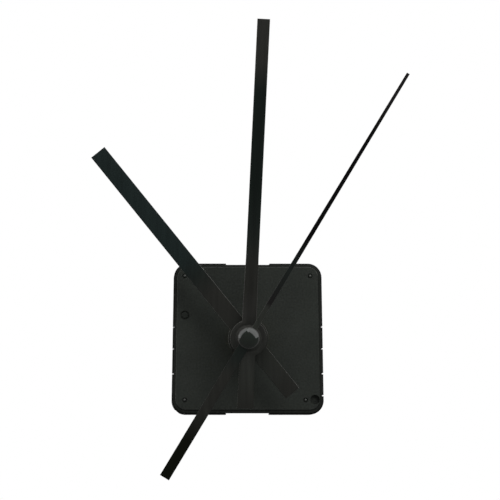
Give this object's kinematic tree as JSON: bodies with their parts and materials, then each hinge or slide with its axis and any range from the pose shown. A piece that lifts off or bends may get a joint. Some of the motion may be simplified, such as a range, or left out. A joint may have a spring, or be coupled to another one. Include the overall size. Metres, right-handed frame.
{
  "type": "quartz clock movement",
  "caption": "Battery quartz clock movement with square black case, threaded centre bush and straight hour, minute and second hands.",
  "frame": {"origin": "on the hand shaft, in the plane of the dial face of the case", "axes": "+Z to twelve o'clock, -Y out of the dial along the hand shaft, +X to the reader's right"},
  "size_m": [0.1175, 0.0303, 0.1705],
  "materials": {
    "case_plastic": "finely textured moulded black",
    "bush_brass": "turned",
    "bridge_plastic": "moulded natural white",
    "magnet_iron": "stamped soft iron",
    "bobbin_plastic": "moulded black",
    "copper_wire": "enamelled copper wire",
    "steel": "bright turned",
    "board_laminate": "solder-masked laminate",
    "sealing_resin": "poured resin",
    "crystal_can": "drawn can",
    "contact_metal": "nickel-plated strip",
    "magnet": "sintered magnet",
    "train_plastic": "moulded acetal",
    "pipe_brass": "turned",
    "setting_plastic": "moulded grey",
    "hand_aluminium": "satin black lacquer",
    "hand_fitting": "black",
    "cap_plastic": "gloss black"
  },
  "bodies": {
    "movement": {"front_case": "case_plastic", "back_cover": "case_plastic", "centre_bush": "bush_brass", "flat_washer": "bush_brass", "hex_nut": "bush_brass", "train_bridge": "bridge_plastic", "rear_bridge": "bridge_plastic", "coil_core": "magnet_iron", "stator": "magnet_iron", "coil_bobbin": "bobbin_plastic", "coil_winding": "copper_wire", "core_screws": "steel", "circuit_board": "board_laminate", "chip_cover": "sealing_resin", "quartz_crystal": "crystal_can", "positive_contact": "contact_metal", "negative_contact": "contact_metal"},
    "rotor": {"rotor_magnet": "magnet", "rotor_pinion": "train_plastic"},
    "intermediate": {"intermediate_wheel": "train_plastic"},
    "seconds": {"seconds_wheel": "train_plastic", "seconds_arbor": "steel", "second_hand": "hand_aluminium", "second_hand_tube": "hand_fitting", "second_hand_cap": "cap_plastic"},
    "third": {"third_wheel": "train_plastic", "third_arbor": "steel"},
    "centre": {"centre_wheel": "train_plastic"},
    "minute": {"minute_pipe": "pipe_brass", "friction_spring": "steel", "clutch_collar": "steel", "minute_hand": "hand_aluminium", "minute_hand_bush": "hand_fitting"},
    "motion": {"motion_wheel": "train_plastic"},
    "hour": {"hour_wheel": "pipe_brass", "hour_hand": "hand_aluminium", "hour_hand_bush": "hand_fitting"},
    "setting": {"set_stem": "setting_plastic", "set_knob": "setting_plastic"}
  },
  "joints": [
    {"name": "second_hand_turn", "type": "hinge", "parent": "movement", "child": "seconds", "pos_m": [0, 0, 0], "axis": [0, 1, 0], "continuous": true},
    {"name": "rotor_turn", "type": "hinge", "parent": "movement", "child": "rotor", "pos_m": [0.01033, 0, 0.01252], "axis": [0, 1, 0], "continuous": true},
    {"name": "intermediate_turn", "type": "hinge", "parent": "movement", "child": "intermediate", "pos_m": [0.00432, 0, 0.00748], "axis": [0, 1, 0], "continuous": true},
    {"name": "third_turn", "type": "hinge", "parent": "movement", "child": "third", "pos_m": [-0.01043, 0, 0.0028], "axis": [0, 1, 0], "continuous": true},
    {"name": "centre_turn", "type": "hinge", "parent": "movement", "child": "centre", "pos_m": [0, 0, 0], "axis": [0, 1, 0], "continuous": true},
    {"name": "minute_hand_turn", "type": "hinge", "parent": "movement", "child": "minute", "pos_m": [0, 0, 0], "axis": [0, 1, 0], "continuous": true},
    {"name": "motion_turn", "type": "hinge", "parent": "movement", "child": "motion", "pos_m": [0.00886, 0, -0.00156], "axis": [0, 1, 0], "continuous": true},
    {"name": "hour_hand_turn", "type": "hinge", "parent": "movement", "child": "hour", "pos_m": [0, 0, 0], "axis": [0, 1, 0], "continuous": true},
    {"name": "set_knob_turn", "type": "hinge", "parent": "movement", "child": "setting", "pos_m": [0.01756, 0, -0.00389], "axis": [0, 1, 0], "continuous": true}
  ],
  "couplings": [
    {"joint": "intermediate_turn", "follows": "second_hand_turn", "ratio": -5},
    {"joint": "rotor_turn", "follows": "second_hand_turn", "ratio": 30},
    {"joint": "third_turn", "follows": "second_hand_turn", "ratio": -0.125},
    {"joint": "centre_turn", "follows": "second_hand_turn", "ratio": 0.016667},
    {"joint": "motion_turn", "follows": "minute_hand_turn", "ratio": -0.33333},
    {"joint": "hour_hand_turn", "follows": "minute_hand_turn", "ratio": 0.083333},
    {"joint": "set_knob_turn", "follows": "minute_hand_turn", "ratio": 1}
  ]
}
